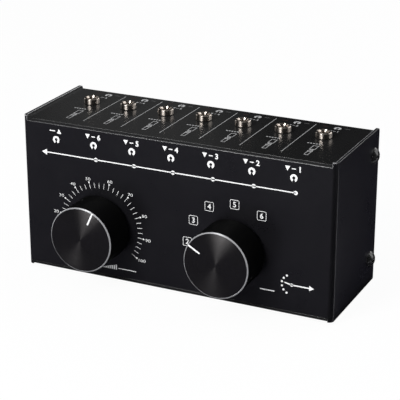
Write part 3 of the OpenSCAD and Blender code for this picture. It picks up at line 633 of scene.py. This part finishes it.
# socket signs on the front: a headset sign under each socket, an arrow and the number above it
socketSigns = {"left": 1.0, "height": 64.2, "ringIn": 0.72, "ringOut": 1.66, "gap": 22.0, "steps": 31,
               "swell": 0.12, "swellOver": 50.0, "swellIn": 0.5, "labelUp": 4.0, "labelSize": 1.0}
socketLabels = {"numbers": "654321", "arrow": ((-1.15, 1.0), (0.0, -1.15), (1.15, 1.0)), "arrowAt": -2.9,
                "dash": (-0.95, 0.85), "line": 0.45, "figureAt": 2.7, "figure": 2.5, "bold": 0.03,
                "outDash": (-3.2, -0.4), "outArrowAt": 1.6}


def headsetSign(centres, v):
    # ring with a narrow gap below, its two ends swollen into cups
    turns = np.linspace(v["gap"] - 90, 270 - v["gap"], v["steps"])
    toEnd = np.minimum(turns - turns[0], turns[-1] - turns)
    swell = v["swell"] * np.clip(1 - toEnd / v["swellOver"], 0, 1)
    ring = np.stack([np.cos(np.radians(turns)), np.sin(np.radians(turns))], 1)
    inner = ring * (v["ringIn"] - v["swellIn"] * swell)[:, None]
    outer = ring * (v["ringOut"] + swell)[:, None]
    return [bands(centres, inner, outer, False)]


def socketLabel(centres, size, v):
    # an arrow that points into the socket, a dash and the number, in a row
    left, right = v["dash"]
    arrows = outlines(centres + (v["arrowAt"] * size, 0), np.array(v["arrow"]) * size)
    dashes = bars(centres + (left * size, 0), centres + (right * size, 0), v["line"] * size)
    spots = zip(v["numbers"], centres + (v["figureAt"] * size, 0))
    return [arrows, dashes] + [figures(n, v["figure"] * size, s, v["bold"]) for n, s in spots]


def outputLabel(centre, size, v):
    # a dash and an arrow that points out of the socket
    left, right = v["outDash"]
    arrow = outlines(centre + (v["outArrowAt"] * size, 0), np.array(v["arrow"]) * -size)
    return [arrow, bars(centre + (left * size, 0), centre + (right * size, 0), v["line"] * size)]


def socketRow(spots, size, v):
    # the first socket is the output, the others are inputs
    return socketLabel(spots[1:], size, v) + outputLabel(spots[:1], size, v)


def makeSocketSigns(v):
    spots = inRow(socketXs / mm - v["left"], v["height"])
    printMarks("socket_signs", headsetSign(spots, v), True, whiteInk)
    labels = socketRow(spots + (0, v["labelUp"]), v["labelSize"], socketLabels)
    printMarks("socket_figures", labels, True, whiteInk)


makeSocketSigns(socketSigns)


# signal line across the panel: a rule with a dot under each input and an arrow to the output
signalLine = {"height": 57.7, "line": 0.5, "dot": 0.95, "left": -63.0, "right": 57.0,
              "arrow": ((0.0, -1.4), (0.0, 1.4), (-2.6, 0.0))}


def makeSignalLine(v):
    start, end = (v["left"], v["height"]), (v["right"], v["height"])
    dots = discs(inRow(socketXs[1:] / mm, v["height"]), v["dot"])
    marks = [bars(start, end, v["line"]), dots, outlines(start, v["arrow"])]
    printMarks("signal_line", marks, True, whiteInk)


makeSignalLine(signalLine)


# signs beside the knobs: growing bars for the level, a six-way switch for the source
levelSign = {"bars": 7, "left": -35.2, "foot": 6.6, "step": 1.05, "low": 0.5, "rise": 0.32, "line": 0.6,
             "dash": ((-27.8, 7.4), (-18.8, 7.4)), "dashLine": 0.36}
sourceSign = {"hub": (56.2, 15.6), "hubDot": 0.75, "hubSides": 16, "ways": 6, "wayTurns": (-150, -30),
              "wayAt": 4.6, "wayDot": 0.5, "waySides": 14, "armTurn": -78, "arm": 3.4, "out": (8.0, 0.0),
              "line": 0.55, "arrow": ((0.0, -1.2), (2.2, 0.0), (0.0, 1.2)),
              "dash": ((41.5, 11.2), (48.3, 11.2)), "dashLine": 0.5}


def makeLevelSign(v):
    grow = np.arange(v["bars"])
    foot = inRow(v["left"] + v["step"] * grow, v["foot"])
    top = foot + np.stack([0 * grow, v["low"] + v["rise"] * grow], 1)
    marks = [bars(foot, top, v["line"]), bars(*v["dash"], v["dashLine"])]
    printMarks("level_sign", marks, True, whiteInk)


def makeSourceSign(v):
    hub = np.array(v["hub"])
    ways = hub + onDial(np.linspace(*v["wayTurns"], v["ways"]), v["wayAt"])
    marks = [bars(*v["dash"], v["dashLine"]), discs(ways, v["wayDot"], v["waySides"]),
             bars(hub, hub + onDial(v["armTurn"], v["arm"]), v["line"]),
             discs(hub, v["hubDot"], v["hubSides"]), bars(hub, hub + v["out"], v["line"]),
             outlines(hub + v["out"], v["arrow"])]
    printMarks("source_sign", marks, True, whiteInk)


makeLevelSign(levelSign)
makeSourceSign(sourceSign)


# top plate: dividers, a plug sign before each socket, a headset sign and its number behind it
deckMarks = {"front": frontY / mm + 6.2, "rear": frontY / mm + 46.5, "line": 0.25, "plugRight": 1.2,
             "plug": [(0.95, 7.0, 11.4), (1.15, 11.4, 12.9), (0.8, 12.9, 14.2), (1.3, 14.2, 19.2)],
             "plugLine": 0.26, "cordXs": (-3.4, -2.1, -0.8, 0.5, 1.8), "cordAt": 21.6, "cordHalf": 0.42,
             "cordLine": 0.7, "headset": (1.2, 44.8), "label": (1.2, 40.6), "labelSize": 0.6,
             "redDash": ((-6.2, 45.6), (-3.6, 45.6)), "greyDash": ((4.2, 45.6), (6.6, 45.6)), "dashLine": 0.5}


def makeDeckMarks(v):
    xs = socketXs / mm
    between = (xs[:-1] + xs[1:]) / 2
    dividers = bars(inRow(between, v["front"]), inRow(between, v["rear"]), v["line"])
    printMarks("deck_dividers", [dividers], False, deckInk)
    spots = inRow(xs, frontY / mm)
    marks = []
    for half, low, high in v["plug"]:
        box = np.array([(-half, low), (half, low), (half, high), (-half, high)])
        inset = box + np.array([(1, 1), (-1, 1), (-1, -1), (1, -1)]) * v["plugLine"]
        marks.append(bands(spots + (v["plugRight"], 0), inset, box, True))
    cord = (spots[:, None, :] + inRow(v["cordXs"], v["cordAt"])[None]).reshape(-1, 2)
    marks.append(bars(cord - (v["cordHalf"], 0), cord + (v["cordHalf"], 0), v["cordLine"]))
    printMarks("deck_plugs", marks, False, deckInk)
    printMarks("deck_headsets", headsetSign(spots + v["headset"], socketSigns), False, deckInk)
    printMarks("deck_figures", socketRow(spots + v["label"], v["labelSize"], socketLabels), False, deckInk)
    dashes = (("deck_red_dashes", v["redDash"], redInk), ("deck_grey_dashes", v["greyDash"], faintInk))
    for name, (left, right), material in dashes:
        printMarks(name, [bars(spots + left, spots + right, v["dashLine"])], False, material)


makeDeckMarks(deckMarks)
print("marks printed")


# pointer inlay: a side profile (distance from the axis, depth behind the face) carried across its width
pointerInlay = {"width": 0.74, "profile": [(8.55, 0.39), (8.55, 0.06), (14.44, 0.06), (14.76, 0.38)],
                "volume_control": (levelX, levelZ, 25.0), "selector_control": (sourceX, sourceZ, -60.0)}


def makePointer(name, body, v):
    x, z, turn = v[body]
    a = math.radians(turn)
    out, across = np.array([math.sin(a), math.cos(a)]), np.array([math.cos(a), -math.sin(a)])
    profile = np.array(v["profile"]) * mm
    halves = np.array([-0.5, 0.5]) * v["width"] * mm
    flat = np.array([x, z]) + profile[None, :, :1] * out + halves[:, None, None] * across
    depth = np.broadcast_to(faceY + profile[None, :, 1], flat.shape[:2])
    points = np.stack([flat[..., 0], depth, flat[..., 1]], 2).reshape(-1, 3)
    n = len(profile)
    here, there = np.arange(n), (np.arange(n) + 1) % n
    walls = np.stack([here, there, there + n, here + n], 1).tolist()
    faces = [list(range(n))[::-1], list(range(n, 2 * n))] + walls
    addPiece(name, points, faces, body, pointerPaint)


makePointer("level_pointer", "volume_control", pointerInlay)
makePointer("source_pointer", "selector_control", pointerInlay)
print("pointers set")


# studio: white surround, pale floor, soft boxes, a bowl of dark flags, and matt cards on the floor
# boxes: name, azimuth, height, distance, (width, depth), power; cards: name, corners, shade
studio = {"ambient": (0.32, 0.33, 0.35), "white": (1.0, 1.0, 1.0, 1.0), "aim": (0.0, 0.0, 0.04),
          "floor": 4.0, "floorDrop": 0.02 * mm, "floorShade": (0.9, 0.9, 0.9), "floorGloss": 0.9,
          "floorGlow": 0.95,
          "boxes": [("keyBox", -18.0, 33.0, 1.0, (0.4, 0.3), 6.8),
                    ("topBox", 10.0, 82.0, 1.1, (1.6, 1.3), 1.3),
                    ("rimBox", 119.0, 22.0, 0.95, (0.5, 0.7), 2.1),
                    ("frontBox", -5.0, 18.0, 1.1, (0.4, 0.12), 2.4),
                    ("leftBox", -112.0, 18.0, 0.95, (0.5, 0.5), 0.5),
                    ("backBox", 158.0, 25.0, 0.95, (0.5, 0.4), 1.5),
                    ("sheenBox", -150.5, 18.0, 1.2, (0.24, 0.3), 0.036),
                    ("mouthBox", -20.0, 58.0, 1.0, (0.16, 0.14), 0.7)],
          "flagRadius": 1.5, "flagTo": 87.0, "flagLift": 0.3 * mm, "flagSteps": (49, 10), "flagHole": 0.02,
          "flagShade": (0.004, 0.004, 0.004), "cardLift": 0.5 * mm,
          "cards": [("frontCard", [(-0.6, -0.7), (0.07, -0.7), (0.07, -0.018), (-0.6, -0.018)],
                     (0.069, 0.066, 0.083)),
                    ("cornerCard", [(0.0755, -0.016), (0.22, 0.118), (0.19, 0.148)], (0.8, 0.785, 0.84)),
                    ("rearCard", [(-0.6, 0.04), (0.074, 0.04), (0.074, 0.7), (-0.6, 0.7)], (0.2, 0.2, 0.21)),
                    ("leftCard", [(-0.6, -0.016), (-0.077, -0.016), (-0.077, 0.038), (-0.6, 0.038)],
                     (0.09, 0.09, 0.1)),
                    ("rightCard", [(0.3, -0.4), (0.9, -0.4), (0.9, 0.4), (0.3, 0.4)], (0.16, 0.16, 0.17)),
                    ("sideCard", [(0.096, 0.027), (0.185, 0.2), (0.185, 0.3), (0.096, 0.3)],
                     (0.025, 0.0235, 0.034)),
                    ("footCard", [(0.077, -0.01), (0.096, 0.027), (0.096, 0.3), (0.077, 0.3)],
                     (0.037, 0.035, 0.05))]}


def mattSockets(shade, roughness):
    return {"Base Color": rgba(shade), "Roughness": roughness, "Specular IOR Level": 0.0}


def seenDirectly(tree):
    rays = addNode(tree, "ShaderNodeLightPath").outputs
    seen = maths(tree, "MAXIMUM", rays["Is Camera Ray"], rays["Is Glossy Ray"])
    return maths(tree, "MAXIMUM", seen, rays["Is Transmission Ray"])


def makeSurround(v):
    # white to the camera and to reflections, a plain grey as light
    world = bpy.data.worlds.new("surround")
    world.use_nodes = True
    scene.world = world
    tree = world.node_tree
    tree.nodes.clear()
    dim = addNode(tree, "ShaderNodeBackground", {"Color": rgba(v["ambient"]), "Strength": 1.0}).outputs[0]
    white = addNode(tree, "ShaderNodeBackground", {"Color": v["white"], "Strength": 1.0}).outputs[0]
    mix = addNode(tree, "ShaderNodeMixShader", {0: seenDirectly(tree), 1: dim, 2: white})
    addNode(tree, "ShaderNodeOutputWorld", {"Surface": mix.outputs[0]})


def makeFloor(v):
    size = v["floor"]
    corners = [(x * size, y * size, -v["floorDrop"]) for x, y in ((-1, -1), (1, -1), (1, 1), (-1, 1))]
    mesh = bpy.data.meshes.new("floor")
    mesh.from_pydata(corners, [], [(0, 1, 2, 3)])
    floor = bpy.data.objects.new("floor", mesh)
    scene.collection.objects.link(floor)
    material, tree, shader = newMaterial("paleFloor", mattSockets(v["floorShade"], v["floorGloss"]))
    glow = addNode(tree, "ShaderNodeEmission", {"Color": v["white"], "Strength": 1.0}).outputs[0]
    share = maths(tree, "MULTIPLY", seenDirectly(tree), v["floorGlow"])
    mix = addNode(tree, "ShaderNodeMixShader", {0: share, 1: shader.outputs[0], 2: glow})
    tree.links.new(mix.outputs[0], tree.nodes["Material Output"].inputs["Surface"])
    mesh.materials.append(material)


def placeBox(name, azimuth, height, distance, size, power, aim):
    a, e = math.radians(azimuth), math.radians(height)
    back = Vector((math.sin(a) * math.cos(e), -math.cos(a) * math.cos(e), math.sin(e)))
    data = bpy.data.lights.new(name, "AREA")
    data.shape, data.energy = "RECTANGLE", power
    data.size, data.size_y = size
    lamp = bpy.data.objects.new(name, data)
    scene.collection.objects.link(lamp)
    lamp.location = Vector(aim) + back * distance
    lamp.rotation_mode = "QUATERNION"
    lamp.rotation_quaternion = (-back).to_track_quat("-Z", "Y")


def showInReflections(name, points, faces, shade):
    # matt sheet that only reflections see
    mesh = bpy.data.meshes.new(name)
    mesh.from_pydata(points, [], faces)
    mesh.materials.append(newMaterial(name, mattSockets(shade, 1.0))[0])
    sheet = bpy.data.objects.new(name, mesh)
    scene.collection.objects.link(sheet)
    sheet.visible_camera = sheet.visible_diffuse = sheet.visible_transmission = False
    sheet.visible_shadow = sheet.visible_volume_scatter = False


def makeFlags(v):
    # dark cloth round the set: a flat disc on the floor that turns up into a band of a sphere
    roundSteps, upSteps = v["flagSteps"]
    turn, rise = np.meshgrid(np.linspace(0, 2 * np.pi, roundSteps),
                             np.radians(np.linspace(0, v["flagTo"], upSteps)))
    wall = np.stack([np.cos(turn) * np.cos(rise), np.sin(turn) * np.cos(rise), np.sin(rise)], 2)
    wall = wall * v["flagRadius"] + (0.0, 0.0, v["flagLift"])
    points = np.concatenate([wall[:1] * (v["flagHole"], v["flagHole"], 1.0), wall])
    rows, columns = points.shape[:2]
    here = (np.arange(rows - 1)[:, None] * columns + np.arange(columns - 1)[None]).ravel()
    faces = np.stack([here, here + 1, here + 1 + columns, here + columns], 1).tolist()
    showInReflections("flags", points.reshape(-1, 3).tolist(), faces, v["flagShade"])


def makeStudio(v):
    makeSurround(v)
    makeFloor(v)
    for box in v["boxes"]:
        placeBox(*box, v["aim"])
    makeFlags(v)
    for name, corners, shade in v["cards"]:
        points = [(x, y, v["cardLift"]) for x, y in corners]
        showInReflections(name, points, [tuple(range(len(corners)))], shade)


makeStudio(studio)
print("studio set")
